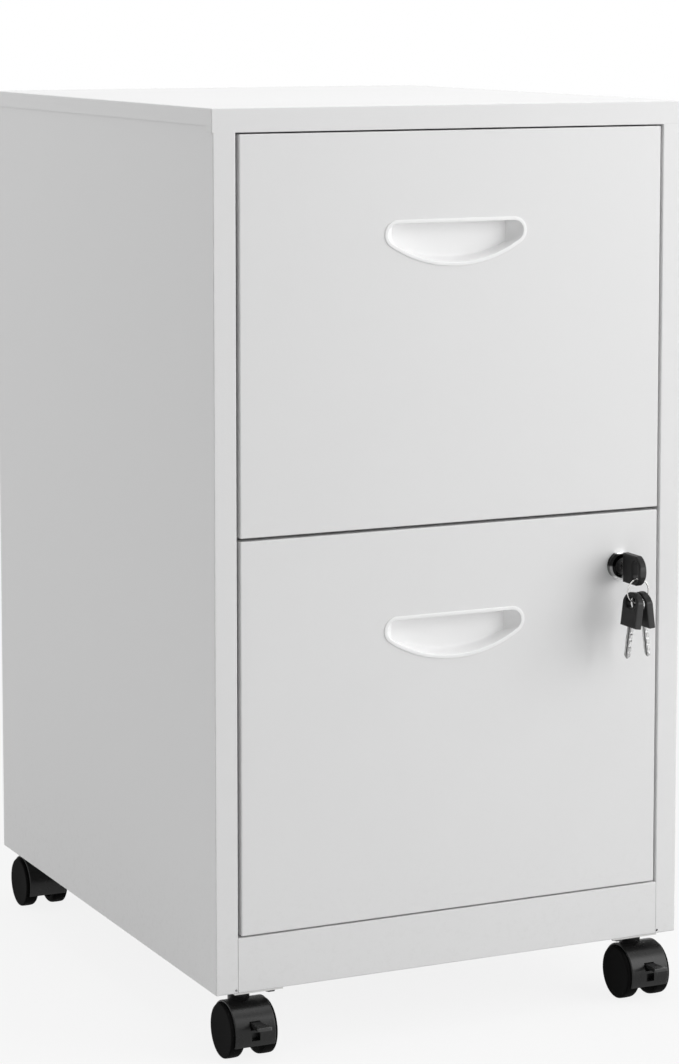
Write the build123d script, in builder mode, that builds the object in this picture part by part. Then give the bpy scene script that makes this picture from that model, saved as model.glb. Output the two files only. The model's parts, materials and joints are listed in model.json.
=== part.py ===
from build123d import *
import os
from math import atan2, cos, radians, sin, sqrt

# Two-drawer steel filing cabinet on twin-wheel casters, with a cam lock and a bunch of keys.
# Millimetres. The front looks along -Y, +X is to its right and +Z is up. The origin is on the
# floor, in the middle of the space that the cabinet takes up with its keys and casters.

# Case, of folded sheet steel
CASE_WIDTH = 362.0  # over the two side panels
CASE_DEPTH = 432.0
CASE_HEIGHT = 602.0  # bottom edge to top
GROUND_CLEARANCE = 47.5  # floor to the bottom edge
SHEET = 1.0
BEND = 0.8  # outside radius of a fold
STILE_WIDTH = 16.4
STILE_RETURN = 18.0  # depth of the stile's fold into the opening
STILE_LIP = 6.0
HEADER_HEIGHT = 16.3
CAP_SKIRT = 11.7  # height of the top panel's side and back flanges
CAP_CORNER = 8.0  # depth of the header's ends round the corner
BACK_FLANGE = 15.0
BACK_FOLD = 13.0  # depth of the back panel's fold under the top
KICK_HEIGHT = 38.3
KICK_SEAM = 0.1
KICK_SHELF = 34.0  # depth of the kick plate's flanges
RELIEF_DIAMETER = 1.8  # small holes at the foot of the stiles, beside the kick plate's seams
RELIEF_RISE = 2.2
RELIEF_INSET = 1.4
RIVET_DIAMETER = 4.0
RIVET_HEAD_DIAMETER = 7.0
RIVET_HEAD_HEIGHT = 1.4
RIVET_END_DISTANCE = 45.0
RIVETS_PER_FLANGE = 5

# Drawer fronts and trays
FRONT_SIDE_GAP = 2.4
FRONT_TOP_GAP = 1.2
FRONT_MIDDLE_GAP = 2.2
FRONT_BOTTOM_GAP = 1.2
FRONT_PROUD = 0.5
FRONT_DEPTH = 28.0
FRONT_FLANGE = 20.0  # folds behind the sides, which the tray is welded to
FRONT_LIP = 6.0  # folds behind the top and bottom
TRAY_FLOOR_LIFT = 8.0  # above the drawer front's lower edge
TRAY_RIM_DROP = 25.0  # below the drawer front's upper edge
TRAY_BACK_GAP = 10.0
TRAY_FRONT_GAP = 1.0  # from its front wall up to the top of the drawer front's pan
RIM_WIDTH = 4.0
RIM_DROP = 6.0

# Telescopic slides and the uprights that carry them
SLIDE_THICKNESS = 12.0
SLIDE_HEIGHT = 46.0
SLIDE_GAUGE = 1.2
SLIDE_PLAY = 0.4
SLIDE_INSET = 0.1  # outer face of the slide inside the edge of the opening
SLIDE_SETBACK = 3.0  # behind the drawer front
SLIDE_LIFT = 75.0  # its middle above the tray's floor
UPRIGHT_WIDTH = 30.0
UPRIGHT_FOOT = 9.0
UPRIGHT_SETBACK = 60.0  # from the front and from the back to an upright's middle

# Finger pull
PULL_WIDTH = 109.4
PULL_HEIGHT = 32.7
PULL_END_RADIUS = 9.8
PULL_DROP = 60.4  # below the drawer front's upper edge
PULL_RIM = 2.6
PULL_PROUD = 0.6
PULL_WALL = 1.3
PULL_DEPTH = 11.0
PULL_END_SLOPE = 8.2  # how far the end walls lean in over the depth
PULL_FLOOR_RISE = 4.0  # how far the floor scoops up over the depth
PULL_ROOF_FALL = 1.0
PULL_BACK_SIDE = 14.8  # upright end of the cup's flat back
PULL_FIT = 0.3

# Cam lock in the lower drawer
LOCK_INSET = 30.7  # from the drawer front's right edge
LOCK_DROP = 37.8  # below its upper edge
COLLAR_DIAMETER = 20.0
COLLAR_PROUD = 5.0
COLLAR_CHAMFER = 1.4
LOCK_BODY_DIAMETER = 16.0
LOCK_FIT = 0.05
LOCK_NUT_DIAMETER = 23.0
LOCK_NUT_THICKNESS = 4.0
PLUG_DIAMETER = 12.0
PLUG_RECESS = 0.5
KEYWAY_CLEARANCE = 0.2
TANG_SIZE = 6.0
CAM_CLEARANCE = 1.5  # behind the stile's fold
CAM_ENGAGEMENT = 7.0  # past the stile's edge when locked
CAM_WIDTH = 14.0
CAM_THICKNESS = 2.5
CAM_SLOT_MARGIN = 1.0
CAM_SCREW_DIAMETER = 8.0
CAM_SCREW_HEAD = 2.0
CAM_SCREW_ROUND = 0.7

# Keys and their ring
KEY_GAP = 4.0  # from the lock's collar to the key's shoulder
KEY_HEAD_LENGTH = 24.8
KEY_HEAD_WIDTH = 21.0
KEY_HEAD_THICKNESS = 5.5
KEY_ARCH = 7.0  # height of the head's curved end
KEY_EDGE_RADIUS = 1.1
EYE_LENGTH = 7.5
EYE_WIDTH = 14.0
EYE_CORNER = 3.6
EYE_EDGE = 3.8  # from the eye to the end of the head
BLADE_LENGTH = 22.4
BLADE_WIDTH = 5.8
BLADE_THICKNESS = 1.8
BLADE_TANG = 6.0  # length held in the head
BLADE_GROOVE = 1.4
BLADE_GROOVE_DEPTH = 0.4
BLADE_POINT = 2.3  # length of the tapered tip
BLADE_NOTCHES = 4
BLADE_NOTCH_DEPTH = 1.3
BLADE_NOTCH_PITCH = 4.6
RING_DIAMETER = 18.0
RING_WIRE = 1.0
RING_PIVOT_DROP = 3.0  # the ring swings about a point below the middle of the eye's lower bar
RING_SWING = 2.65
SPARE_KEY_OFFSET = 3.5
SPARE_KEY_SPREAD = 7.0  # degrees
SPARE_KEY_HANG = 2.2  # from the eye's edge to the point that the key swings about
SPARE_KEY_DROP = 0.8  # of that point below the wire, at the outer side of the head

# Twin-wheel casters
WHEEL_DIAMETER = 38.0
WHEEL_WIDTH = 10.9
WHEEL_ROUND = 3.0  # of the tread's inner edge
WHEEL_EDGE = 0.6  # of its outer edge
WHEEL_PROUD = 2.4  # of the hood's side
WHEEL_GAP = 12.8  # between the two wheels
WHEEL_END_WALL = 1.5
HOOD_GAP = 0.7
HOOD_WALL = 1.1
HOOD_ROUND = 0.8  # of the hood's outer edges
HOOD_SIDE_GAP = 0.4
HOOD_EDGE = 11.5  # its lower edge above the floor
AXLE_DIAMETER = 5.0
AXLE_FIT = 0.05
CASTER_TRAIL = 9.5
STEM_DIAMETER = 8.0
STEM_SOCKET = 18.0  # length of stem in the hood
STEM_ABOVE = 12.0  # length of stem above the base panel
STEM_SIDE_INSET = 25.5
STEM_END_INSET = 21.0
NECK_DIAMETER = 15.2
NECK_GAP = 0.5
CASTER_PLATE = 1.5
PLATE_BOLT_MARGIN = 7.0  # from a bolt's axis to the edge of the plate
PLATE_STEM_MARGIN = 11.0  # from the stem's axis to the edge of the plate
BOLT_SIDE_INSET = 43.4
BOLT_END_INSET = 8.5
BOLT_DIAMETER = 5.0
BOLT_HEAD_DIAMETER = 8.5
BOLT_HEAD_HEIGHT = 2.2
LEVER_WIDTH = 7.0
LEVER_TIP_WIDTH = 11.2
LEVER_THICKNESS = 2.4
LEVER_CORNER = 1.2
LEVER_ROUND = 0.6
LEVER_REACH = 15.0  # in front of the hood
LEVER_RISE = 8.0  # of its pivot above the axle
LEVER_PIVOT_DEPTH = 7.0  # behind the hood's front
LEVER_PIVOT_DIAMETER = 5.0
LEVER_PIN_DIAMETER = 2.4
LEVER_TILT = -3.0  # degrees down at its front, so it rests a little raised
LEVER_SWING = 20.0  # degrees of room below the lever, for pressing it down
LEVER_SIDE_GAP = 0.5
LEVER_PIN_GAP = 0.1  # from each end of its pin to the wheel's chamber
HOOD_WINDOW_WIDTH = 6.2
HOOD_WINDOW_HEIGHT = 5.8
HOOD_WINDOW_DEPTH = 5.0
HOOD_WINDOW_RISE = -0.4  # of its middle above the axle

# Places worked out from the sizes above
HOOD_RADIUS = WHEEL_DIAMETER / 2 + HOOD_GAP + HOOD_WALL
REAR_OVERHANG = HOOD_RADIUS + CASTER_TRAIL - STEM_END_INSET
KEY_SHOULDER = COLLAR_PROUD + KEY_GAP
KEY_TIP = KEY_SHOULDER + KEY_HEAD_LENGTH  # end of the lock's key in front of the drawer
RING_REACH = KEY_TIP - EYE_EDGE - EYE_LENGTH / 2
KEY_REACH = FRONT_PROUD + max(KEY_TIP, RING_REACH + KEY_HEAD_WIDTH / 2)
HALF = CASE_WIDTH / 2
OPENING_HALF = HALF - STILE_WIDTH
Y_FRONT = (KEY_REACH - CASE_DEPTH - REAR_OVERHANG) / 2
Y_BACK = Y_FRONT + CASE_DEPTH
Y_RETURN = Y_FRONT + STILE_RETURN
Z_BOTTOM = GROUND_CLEARANCE
Z_TOP = Z_BOTTOM + CASE_HEIGHT
Z_HEADER = Z_TOP - HEADER_HEIGHT
Z_KICK = Z_BOTTOM + KICK_HEIGHT
Z_FLOOR = Z_BOTTOM + 2 * SHEET  # upper face of the base panel

FRONT_HALF = OPENING_HALF - FRONT_SIDE_GAP
FRONT_HEIGHT = (Z_HEADER - Z_KICK - FRONT_TOP_GAP - FRONT_MIDDLE_GAP - FRONT_BOTTOM_GAP) / 2
Y_FACE = Y_FRONT - FRONT_PROUD
Y_PAN = Y_FACE + FRONT_DEPTH
DRAWER_BOTTOM = {
    "lower": Z_KICK + FRONT_BOTTOM_GAP,
    "upper": Z_KICK + FRONT_BOTTOM_GAP + FRONT_HEIGHT + FRONT_MIDDLE_GAP,
}
SLIDE_OUTSIDE = OPENING_HALF - SLIDE_INSET
TRAY_HALF = SLIDE_OUTSIDE - SLIDE_THICKNESS
Y_TRAY_BACK = Y_BACK - 2 * SHEET - TRAY_BACK_GAP
Y_SLIDE = Y_PAN + SLIDE_SETBACK
SLIDE_LENGTH = Y_TRAY_BACK - Y_SLIDE

LOCK_X = FRONT_HALF - LOCK_INSET
LOCK_Z = DRAWER_BOTTOM["lower"] + FRONT_HEIGHT - LOCK_DROP
LOCK_PLANE = Plane(origin=(LOCK_X, Y_FACE, LOCK_Z), x_dir=(1, 0, 0), z_dir=(0, -1, 0))
CAM_BACK = FRONT_PROUD + STILE_RETURN + CAM_CLEARANCE  # cam's front face behind the drawer's face
CAM_REACH = OPENING_HALF - LOCK_X + CAM_ENGAGEMENT
EYE_BAR = (KEY_HEAD_WIDTH - EYE_WIDTH) / 2
EYE_BAR_DROP = EYE_WIDTH / 2 + EYE_BAR / 2  # lock axis to the middle of the eye's lower bar
Y_RING = Y_FACE - RING_REACH
Z_RING_PIVOT = LOCK_Z - EYE_BAR_DROP - RING_PIVOT_DROP
Z_RING = Z_RING_PIVOT - RING_SWING
RING_MEAN_RADIUS = (RING_DIAMETER - RING_WIRE) / 2
WIRE_DROP = sqrt(RING_MEAN_RADIUS**2 - (SPARE_KEY_OFFSET + KEY_HEAD_THICKNESS / 2) ** 2)
Z_SPARE_KEY = Z_RING - WIRE_DROP - SPARE_KEY_DROP

AXLE_HEIGHT = WHEEL_DIAMETER / 2
HOOD_HALF = WHEEL_GAP / 2 + WHEEL_WIDTH - WHEEL_PROUD
WEB_HALF = WHEEL_GAP / 2 - HOOD_SIDE_GAP
PLATE_BOTTOM = Z_BOTTOM - CASTER_PLATE
LEVER_Y = -CASTER_TRAIL - HOOD_RADIUS + LEVER_PIVOT_DEPTH
LEVER_Z = AXLE_HEIGHT + LEVER_RISE

os.makedirs("parts", exist_ok=True)


def save(shape, name):
    """Labels a finished piece and writes it to its own file."""
    shape.label = name
    export_step(shape, f"parts/{name}.step")


def plate(x, y, mode=Mode.ADD):
    """A rectangle in the current sketch, between two values along each of its axes."""
    with Locations(((x[0] + x[1]) / 2, (y[0] + y[1]) / 2)):
        Rectangle(abs(x[1] - x[0]), abs(y[1] - y[0]), mode=mode)


def slab(x, y, z, mode=Mode.ADD):
    """A block in the current part, between two values along each axis."""
    with Locations(((x[0] + x[1]) / 2, (y[0] + y[1]) / 2, (z[0] + z[1]) / 2)):
        Box(abs(x[1] - x[0]), abs(y[1] - y[0]), abs(z[1] - z[0]), mode=mode)


def xz_plane(y):
    """The upright plane at that depth, whose normal points to the front."""
    return Plane(origin=(0, y, 0), x_dir=(1, 0, 0), z_dir=(0, -1, 0))


# Case panels
RIVET_STEP = (CASE_HEIGHT - 2 * RIVET_END_DISTANCE) / (RIVETS_PER_FLANGE - 1)
RIVET_PLACES = [
    (side * (HALF - BACK_FLANGE / 2), Z_BOTTOM + RIVET_END_DISTANCE + row * RIVET_STEP)
    for side in (-1, 1)
    for row in range(RIVETS_PER_FLANGE)
]
CASTER_PLACES = {
    f"{end}_{side}": (x_sign * (HALF - STEM_SIDE_INSET), y, turn)
    for end, y, turn in (
        ("front", Y_FRONT + STEM_END_INSET, 0),
        ("rear", Y_BACK - STEM_END_INSET, 180),
    )
    for side, x_sign in (("left", -1), ("right", 1))
}
STEM_POINTS = [(x, y) for x, y, turn in CASTER_PLACES.values()]
BOLT_POINTS = [
    (side * (HALF - BOLT_SIDE_INSET), y)
    for y in (Y_FRONT + BOLT_END_INSET, Y_BACK - BOLT_END_INSET)
    for side in (-1, 1)
]

with BuildPart() as left_side_panel:
    with BuildSketch(Plane.XY.offset(Z_BOTTOM)):
        plate((-HALF, -HALF + SHEET), (Y_FRONT, Y_BACK))
        plate((-HALF, -OPENING_HALF), (Y_FRONT, Y_FRONT + SHEET))
        plate((-OPENING_HALF - SHEET, -OPENING_HALF), (Y_FRONT, Y_RETURN))
        plate((-OPENING_HALF - STILE_LIP, -OPENING_HALF), (Y_RETURN - SHEET, Y_RETURN))
        plate((-HALF, -HALF + BACK_FLANGE), (Y_BACK - SHEET, Y_BACK))
    extrude(amount=Z_HEADER - Z_BOTTOM)
    slab((-HALF, -HALF + SHEET), (Y_FRONT + SHEET, Y_BACK), (Z_HEADER, Z_TOP - SHEET))
    slab((-HALF, -HALF + BACK_FLANGE), (Y_BACK - SHEET, Y_BACK), (Z_HEADER, Z_TOP - SHEET))
    slab((-HALF, -OPENING_HALF), (Y_FRONT, Y_BACK), (Z_BOTTOM, Z_BOTTOM + SHEET))
    upright_edges = left_side_panel.edges().filter_by(Axis.Z)
    front_folds = upright_edges.group_by(Axis.Y)[0]
    back_folds = upright_edges.group_by(Axis.Y)[-1]
    lower_edges = left_side_panel.edges().group_by(Axis.Z)[0]
    foot = lower_edges.filter_by(Axis.Y).group_by(Axis.X)[0]
    toe = lower_edges.filter_by(Axis.X).group_by(Axis.Y)[0]
    fillet(front_folds + back_folds.sort_by(Axis.X)[:1] + foot + toe, BEND)
    with BuildSketch(xz_plane(Y_BACK)):
        with Locations(*RIVET_PLACES):
            Circle(RIVET_DIAMETER / 2)
    extrude(amount=SHEET, mode=Mode.SUBTRACT)
    with BuildSketch(xz_plane(Y_FRONT)):
        with Locations((-OPENING_HALF - RELIEF_INSET, Z_BOTTOM + RELIEF_RISE)):
            Circle(RELIEF_DIAMETER / 2)
    extrude(amount=-SHEET, mode=Mode.SUBTRACT)
save(left_side_panel.part, "left_side_panel")

with BuildPart() as right_side_panel:
    mirror(left_side_panel.part, about=Plane.YZ)
save(right_side_panel.part, "right_side_panel")

with BuildPart() as back_panel:
    across, upper = (-HALF + SHEET, HALF - SHEET), Z_TOP - SHEET
    slab(across, (Y_BACK - 2 * SHEET, Y_BACK - SHEET), (Z_BOTTOM + SHEET, upper))
    slab(across, (Y_BACK - SHEET - BACK_FOLD, Y_BACK - SHEET), (upper - SHEET, upper))
    with BuildSketch(xz_plane(Y_BACK - SHEET)):
        with Locations(*RIVET_PLACES):
            Circle(RIVET_DIAMETER / 2)
    extrude(amount=SHEET, mode=Mode.SUBTRACT)
save(back_panel.part, "back_panel")

with BuildPart() as top_panel:
    slab((-HALF - SHEET, HALF + SHEET), (Y_FRONT, Y_BACK + SHEET), (Z_HEADER, Z_TOP))
    corners = top_panel.edges().filter_by(Axis.Z)
    fillet(top_panel.edges().group_by(Axis.Z)[-1] + corners, BEND)
    slab((-HALF, HALF), (Y_FRONT + SHEET, Y_BACK), (Z_HEADER, Z_TOP - SHEET), mode=Mode.SUBTRACT)
    slab(
        (-HALF - SHEET, HALF + SHEET),
        (Y_FRONT + CAP_CORNER, Y_BACK + SHEET),
        (Z_HEADER, Z_TOP - CAP_SKIRT),
        mode=Mode.SUBTRACT,
    )
    slab((-OPENING_HALF, OPENING_HALF), (Y_FRONT + SHEET, Y_RETURN), (Z_HEADER, Z_HEADER + SHEET))
save(top_panel.part, "top_panel")

with BuildPart() as base_panel:
    with BuildSketch(Plane.XY.offset(Z_BOTTOM + SHEET)):
        plate((-HALF + SHEET, HALF - SHEET), (Y_RETURN, Y_BACK - 2 * SHEET))
        plate((-OPENING_HALF + KICK_SEAM, OPENING_HALF - KICK_SEAM), (Y_FRONT + SHEET, Y_RETURN))
        with Locations(*STEM_POINTS):
            Circle(STEM_DIAMETER / 2, mode=Mode.SUBTRACT)
        with Locations(*BOLT_POINTS):
            Circle(BOLT_DIAMETER / 2, mode=Mode.SUBTRACT)
    extrude(amount=SHEET)
save(base_panel.part, "base_panel")

with BuildPart() as kick_plate:
    kick_half = OPENING_HALF - KICK_SEAM
    slab((-kick_half, kick_half), (Y_FRONT, Y_FRONT + SHEET), (Z_BOTTOM, Z_KICK))
    slab((-kick_half, kick_half), (Y_FRONT, Y_RETURN), (Z_KICK - SHEET, Z_KICK))
    slab((-kick_half, kick_half), (Y_FRONT, Y_FRONT + KICK_SHELF), (Z_BOTTOM, Z_BOTTOM + SHEET))
    fillet(kick_plate.edges().filter_by(Axis.X).group_by(Axis.Y)[0], BEND)
    with BuildSketch(Plane.XY.offset(Z_BOTTOM)):
        with Locations(*STEM_POINTS):
            Circle(STEM_DIAMETER / 2)
        with Locations(*BOLT_POINTS):
            Circle(BOLT_DIAMETER / 2)
    extrude(amount=SHEET, mode=Mode.SUBTRACT)
save(kick_plate.part, "kick_plate")

with BuildPart() as case_rivets:
    with BuildSketch(xz_plane(Y_BACK)):
        with Locations(*RIVET_PLACES):
            Circle(RIVET_DIAMETER / 2)
    extrude(amount=2 * SHEET)
    with BuildSketch(xz_plane(Y_BACK)):
        with Locations(*RIVET_PLACES):
            Circle(RIVET_HEAD_DIAMETER / 2)
    extrude(amount=-RIVET_HEAD_HEIGHT)
save(case_rivets.part, "case_rivets")

for side, sign in (("left", -1), ("right", 1)):
    with BuildPart() as slide_uprights:
        with BuildSketch(Plane.XY.offset(Z_FLOOR)):
            for middle in (Y_FRONT + UPRIGHT_SETBACK, Y_BACK - UPRIGHT_SETBACK):
                near, far = middle - UPRIGHT_WIDTH / 2, middle + UPRIGHT_WIDTH / 2
                wall = HALF - SHEET
                plate((sign * SLIDE_OUTSIDE, sign * (SLIDE_OUTSIDE + SHEET)), (near, far))
                for leg in (near, far - SHEET):
                    plate((sign * SLIDE_OUTSIDE, sign * wall), (leg, leg + SHEET))
                plate((sign * (wall - SHEET), sign * wall), (near - UPRIGHT_FOOT, near + SHEET))
                plate((sign * (wall - SHEET), sign * wall), (far - SHEET, far + UPRIGHT_FOOT))
        extrude(amount=Z_HEADER - Z_FLOOR)
    save(slide_uprights.part, f"{side}_slide_uprights")


# Telescopic slides: three channels, each running in the next
def slide_channel(name, web, tip, half_height, middle_height):
    """A channel along Y: its web stands at one X and its two flanges reach to another."""
    thickness = SLIDE_GAUGE if tip > web else -SLIDE_GAUGE
    y = (Y_SLIDE, Y_SLIDE + SLIDE_LENGTH)
    low, high = middle_height - half_height, middle_height + half_height
    with BuildPart() as channel:
        slab((web, web + thickness), y, (low, high))
        slab((web, tip), y, (low, low + SLIDE_GAUGE))
        slab((web, tip), y, (high - SLIDE_GAUGE, high))
    save(channel.part, name)


SLIDE_STEP = SLIDE_GAUGE + SLIDE_PLAY
for drawer, bottom in DRAWER_BOTTOM.items():
    height = bottom + TRAY_FLOOR_LIFT + SLIDE_LIFT
    for side, sign in (("left", -1), ("right", 1)):
        name = f"{drawer}_{side}_slide"
        outside, inside = sign * SLIDE_OUTSIDE, sign * TRAY_HALF
        step = sign * SLIDE_STEP
        half_height = SLIDE_HEIGHT / 2
        slide_channel(f"{name}_outer", outside, inside + step, half_height, height)
        slide_channel(f"{name}_middle", outside - step, inside + step, half_height - SLIDE_STEP, height)
        slide_channel(f"{name}_inner", inside, outside - 2 * step, half_height - 2 * SLIDE_STEP, height)


# Finger pulls
def smile(inset):
    """The pull's outline: flat top, round ends and one wide arc below, tangent to both ends."""
    radius = PULL_END_RADIUS - inset
    top, bottom = -inset, -PULL_HEIGHT + inset
    run, height = PULL_WIDTH / 2 - inset - radius, top - bottom
    sweep = (run**2 + height**2 - 2 * height * radius) / (2 * (height - 2 * radius))
    direction = atan2(top - radius - bottom - sweep, run)
    touch = (sweep * cos(direction), bottom + sweep + sweep * sin(direction))
    half_way = (radians(90) + direction) / 2
    end = (run + radius * cos(half_way), top - radius + radius * sin(half_way))
    with BuildLine() as outline:
        Line((-run, top), (run, top))
        ThreePointArc((run, top), end, touch)
        ThreePointArc(touch, (0, bottom), (-touch[0], touch[1]))
        ThreePointArc((-touch[0], touch[1]), (-end[0], end[1]), (-run, top))
    make_face(outline.edges())


def cup_back(inset):
    """The outline of the cup's back: flat top, upright ends and one wide arc below."""
    half_width = PULL_WIDTH / 2 - inset - PULL_END_SLOPE
    top = -inset - PULL_ROOF_FALL
    side = top - PULL_BACK_SIDE
    with BuildLine() as outline:
        Polyline((-half_width, side), (-half_width, top), (half_width, top), (half_width, side))
        ThreePointArc((half_width, side), (0, -PULL_HEIGHT + inset + PULL_FLOOR_RISE), (-half_width, side))
    make_face(outline.edges())


def finger_pull(name, top):
    """A moulded cup with a thin rim, sunk into the drawer front."""
    face = Plane(origin=(0, Y_FACE, top), x_dir=(1, 0, 0), z_dir=(0, -1, 0))
    with BuildPart() as pull:
        with BuildSketch(face):
            smile(PULL_RIM - PULL_WALL)
        with BuildSketch(face.offset(-PULL_DEPTH - PULL_WALL)):
            cup_back(PULL_RIM - PULL_WALL)
        loft()
        with BuildSketch(face):
            smile(0)
        extrude(amount=PULL_PROUD)
        fillet(pull.faces().sort_by(Axis.Y)[0].edges(), PULL_PROUD / 2)
        with BuildSketch(face.offset(PULL_PROUD)):
            smile(PULL_RIM)
        with BuildSketch(face.offset(-PULL_DEPTH)):
            cup_back(PULL_RIM)
        loft(mode=Mode.SUBTRACT)
    save(pull.part, name)


# Drawers
for drawer, bottom in DRAWER_BOTTOM.items():
    top = bottom + FRONT_HEIGHT
    has_lock = drawer == "lower"
    with BuildPart() as front:
        slab((-FRONT_HALF, FRONT_HALF), (Y_FACE, Y_PAN), (bottom, top))
        fillet(front.faces().sort_by(Axis.Y)[0].edges() + front.edges().filter_by(Axis.Y), BEND)
        slab(
            (-FRONT_HALF + SHEET, FRONT_HALF - SHEET),
            (Y_FACE + SHEET, Y_PAN - SHEET),
            (bottom + SHEET, top - SHEET),
            mode=Mode.SUBTRACT,
        )
        slab(
            (-FRONT_HALF + FRONT_FLANGE, FRONT_HALF - FRONT_FLANGE),
            (Y_PAN - SHEET, Y_PAN),
            (bottom + FRONT_LIP, top - FRONT_LIP),
            mode=Mode.SUBTRACT,
        )
        with BuildSketch(Plane(origin=(0, Y_FACE, top - PULL_DROP), x_dir=(1, 0, 0), z_dir=(0, -1, 0))):
            smile(PULL_RIM - PULL_WALL - PULL_FIT)
        extrude(amount=-SHEET, mode=Mode.SUBTRACT)
        if has_lock:
            with BuildSketch(LOCK_PLANE):
                Circle(LOCK_BODY_DIAMETER / 2)
            extrude(amount=-SHEET, mode=Mode.SUBTRACT)
            swing = sqrt(CAM_REACH**2 - (LOCK_INSET - SHEET) ** 2) + CAM_SLOT_MARGIN
            slab(
                (FRONT_HALF - SHEET, FRONT_HALF),
                (Y_FACE + CAM_BACK - CAM_SLOT_MARGIN, Y_FACE + CAM_BACK + CAM_THICKNESS + CAM_SLOT_MARGIN),
                (LOCK_Z - swing, LOCK_Z + CAM_WIDTH / 2 + CAM_SLOT_MARGIN),
                mode=Mode.SUBTRACT,
            )
    save(front.part, f"{drawer}_drawer_front")
    finger_pull(f"{drawer}_pull", top - PULL_DROP)

    floor, rim = bottom + TRAY_FLOOR_LIFT, top - TRAY_RIM_DROP
    with BuildPart() as tray:
        slab((-TRAY_HALF, TRAY_HALF), (Y_PAN, Y_TRAY_BACK), (floor, floor + SHEET))
        slab((-TRAY_HALF, TRAY_HALF), (Y_PAN, Y_PAN + SHEET), (floor, top - SHEET - TRAY_FRONT_GAP))
        slab((-TRAY_HALF, TRAY_HALF), (Y_TRAY_BACK - SHEET, Y_TRAY_BACK), (floor, rim))
        for sign in (-1, 1):
            wall, lip = sign * TRAY_HALF, sign * (TRAY_HALF + RIM_WIDTH)
            slab((wall, wall - sign * SHEET), (Y_PAN, Y_TRAY_BACK), (floor, rim))
            slab((wall, lip), (Y_PAN + SHEET, Y_TRAY_BACK), (rim - SHEET, rim))
            slab((lip, lip - sign * SHEET), (Y_PAN + SHEET, Y_TRAY_BACK), (rim - RIM_DROP, rim))
        rims = tray.edges().filter_by(Axis.Y).filter_by_position(Axis.Z, rim - SHEET / 2, rim + SHEET / 2)
        fillet(rims.sort_by(Axis.X)[:1] + rims.sort_by(Axis.X)[-1:], BEND)
    save(tray.part, f"{drawer}_drawer_tray")

# Cam lock
with BuildPart() as lock_housing:
    with BuildSketch(LOCK_PLANE):
        Circle(COLLAR_DIAMETER / 2)
    extrude(amount=COLLAR_PROUD)
    chamfer(lock_housing.faces().sort_by(Axis.Y)[0].edges(), COLLAR_CHAMFER)
    with BuildSketch(LOCK_PLANE):
        Circle(LOCK_BODY_DIAMETER / 2)
    extrude(amount=-CAM_BACK)
    with BuildSketch(LOCK_PLANE.offset(COLLAR_PROUD)):
        Circle(PLUG_DIAMETER / 2 + LOCK_FIT)
    extrude(amount=-COLLAR_PROUD - CAM_BACK, mode=Mode.SUBTRACT)
save(lock_housing.part, "lock_housing")

with BuildPart() as lock_nut:
    with BuildSketch(LOCK_PLANE.offset(-SHEET)):
        RegularPolygon(LOCK_NUT_DIAMETER / 2, 6)
        Circle(LOCK_BODY_DIAMETER / 2, mode=Mode.SUBTRACT)
    extrude(amount=-LOCK_NUT_THICKNESS)
save(lock_nut.part, "lock_nut")

with BuildPart() as lock_plug:
    with BuildSketch(LOCK_PLANE.offset(COLLAR_PROUD - PLUG_RECESS)):
        Circle(PLUG_DIAMETER / 2)
    extrude(amount=PLUG_RECESS - COLLAR_PROUD - CAM_BACK)
    with BuildSketch(LOCK_PLANE.offset(-CAM_BACK)):
        Rectangle(TANG_SIZE, TANG_SIZE)
    extrude(amount=-CAM_THICKNESS)
    with BuildSketch(LOCK_PLANE.offset(COLLAR_PROUD)):
        Rectangle(BLADE_THICKNESS + 2 * KEYWAY_CLEARANCE, BLADE_WIDTH + 2 * KEYWAY_CLEARANCE)
    extrude(amount=KEY_GAP - BLADE_LENGTH - KEYWAY_CLEARANCE, mode=Mode.SUBTRACT)
save(lock_plug.part, "lock_plug")

with BuildPart() as lock_cam:
    with BuildSketch(LOCK_PLANE.offset(-CAM_BACK)):
        with Locations((0, CAM_WIDTH / 2 - (CAM_REACH + CAM_WIDTH / 2) / 2)):
            SlotOverall(CAM_REACH + CAM_WIDTH / 2, CAM_WIDTH, rotation=90)
        Rectangle(TANG_SIZE, TANG_SIZE, mode=Mode.SUBTRACT)
    extrude(amount=-CAM_THICKNESS)
save(lock_cam.part, "lock_cam")

with BuildPart() as cam_screw:
    with BuildSketch(LOCK_PLANE.offset(-CAM_BACK - CAM_THICKNESS)):
        Circle(CAM_SCREW_DIAMETER / 2)
    extrude(amount=-CAM_SCREW_HEAD)
    fillet(cam_screw.faces().sort_by(Axis.Y)[-1].edges(), CAM_SCREW_ROUND)
save(cam_screw.part, "cam_screw")


# Keys, each made with its shoulder at the origin and its blade along +Y
with BuildPart() as key_head:
    straight = KEY_HEAD_LENGTH - KEY_ARCH
    with BuildSketch(Plane.YZ.offset(-KEY_HEAD_THICKNESS / 2)):
        with BuildLine():
            half_width = KEY_HEAD_WIDTH / 2
            Polyline((-straight, half_width), (0, half_width), (0, -half_width), (-straight, -half_width))
            ThreePointArc((-straight, -half_width), (-KEY_HEAD_LENGTH, 0), (-straight, half_width))
        make_face()
        with Locations((-KEY_HEAD_LENGTH + EYE_EDGE + EYE_LENGTH / 2, 0)):
            RectangleRounded(EYE_LENGTH, EYE_WIDTH, EYE_CORNER, mode=Mode.SUBTRACT)
    extrude(amount=KEY_HEAD_THICKNESS)
    fillet(key_head.faces().filter_by(Plane.YZ).edges(), KEY_EDGE_RADIUS)
    slab(
        (-BLADE_THICKNESS / 2, BLADE_THICKNESS / 2),
        (-BLADE_TANG, 0),
        (-BLADE_WIDTH / 2, BLADE_WIDTH / 2),
        mode=Mode.SUBTRACT,
    )

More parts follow.
